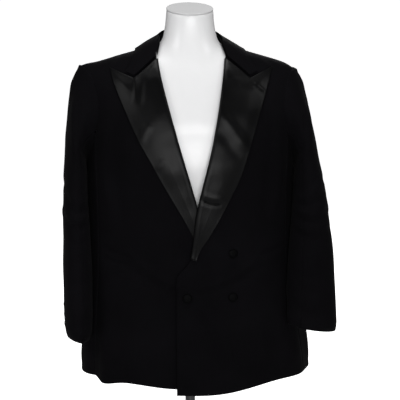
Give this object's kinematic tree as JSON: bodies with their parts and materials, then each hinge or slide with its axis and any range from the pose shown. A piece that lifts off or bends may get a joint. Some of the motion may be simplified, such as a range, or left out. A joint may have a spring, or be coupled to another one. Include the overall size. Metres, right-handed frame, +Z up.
{
  "type": "tuxedo jacket on a dress form",
  "caption": "Double-breasted dinner jacket with satin peak lapels, worn by a limbless torso form on a round stand",
  "frame": {"origin": "centre of the underside of the stand's round base, on the surface it stands on", "axes": "+Z up, -Y the way the jacket faces, +X towards the wearer's left, where the front that laps over lies"},
  "size_m": [0.5958, 0.3, 0.986],
  "materials": {
    "wool": "matt worsted barathea",
    "satin": "lustrous black satin facing",
    "button_satin": "satin-covered button",
    "form_white": "gloss white moulded plastic",
    "stand_dark": "satin black powder coat"
  },
  "bodies": {
    "root": {"front_left": "wool", "front_right": "wool", "side_left": "wool", "back_left": "wool", "side_right": "wool", "back_right": "wool", "collar_leaf": "wool", "collar_stand": "wool", "sleeve_top_left": "wool", "sleeve_under_left": "wool", "sleeve_top_right": "wool", "sleeve_under_right": "wool", "lapel_left": "satin", "lapel_right": "satin", "button_show": "button_satin", "button_fastened": "button_satin", "button_partner": "button_satin", "cuff_button_left_1": "button_satin", "cuff_button_left_2": "button_satin", "cuff_button_left_3": "button_satin", "cuff_button_right_1": "button_satin", "cuff_button_right_2": "button_satin", "cuff_button_right_3": "button_satin", "form_torso": "form_white", "stand_pole": "stand_dark", "stand_base": "stand_dark"}
  },
  "joints": []
}
